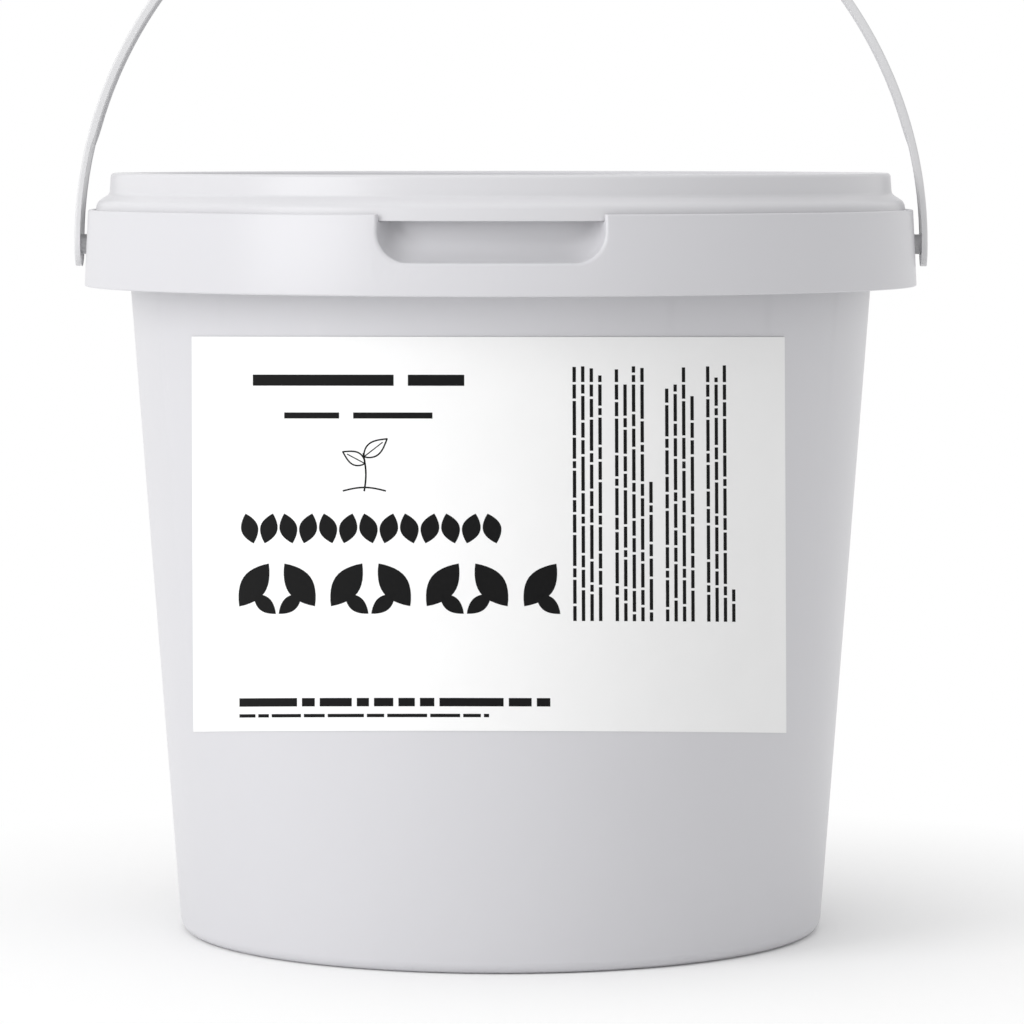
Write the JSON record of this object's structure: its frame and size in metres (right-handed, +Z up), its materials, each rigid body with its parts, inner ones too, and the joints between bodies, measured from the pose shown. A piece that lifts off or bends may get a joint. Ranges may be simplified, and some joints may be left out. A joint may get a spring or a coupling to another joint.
{
  "type": "bucket of potting compost",
  "caption": "Round tapered plastic bucket of potting compost with a press-on lid, a swinging strap handle, a finger pocket in its skirt and a paper label.",
  "frame": {"origin": "centre of the tub's base, on the surface that it stands on, and the bottom centre of the bounding box with the handle upright", "axes": "+Z up along the tub's axis, -Y the front with the label and the finger pocket, X along the line through the handle's two pins"},
  "size_m": [0.2316, 0.226, 0.3026],
  "materials": {
    "white_moulding": "satin moulded polypropylene",
    "lid_moulding": "satin moulded polypropylene",
    "handle_moulding": "satin moulded polypropylene",
    "label_paper": "smooth white adhesive paper",
    "compost": "damp dark compost"
  },
  "bodies": {
    "tub_body": {"tub": "white_moulding", "label": "label_paper", "compost": "compost"},
    "lid_body": {"lid": "lid_moulding"},
    "handle_body": {"handle": "handle_moulding"}
  },
  "joints": [
    {"name": "handle_swing", "type": "hinge", "parent": "tub_body", "child": "handle_body", "pos_m": [0, 0, 0.1868], "axis": [1, 0, 0], "range_deg": [-116, 116]},
    {"name": "lid_lift", "type": "slide", "parent": "tub_body", "child": "lid_body", "axis": [0, 0, 1], "range_m": [0, 0.014]}
  ]
}
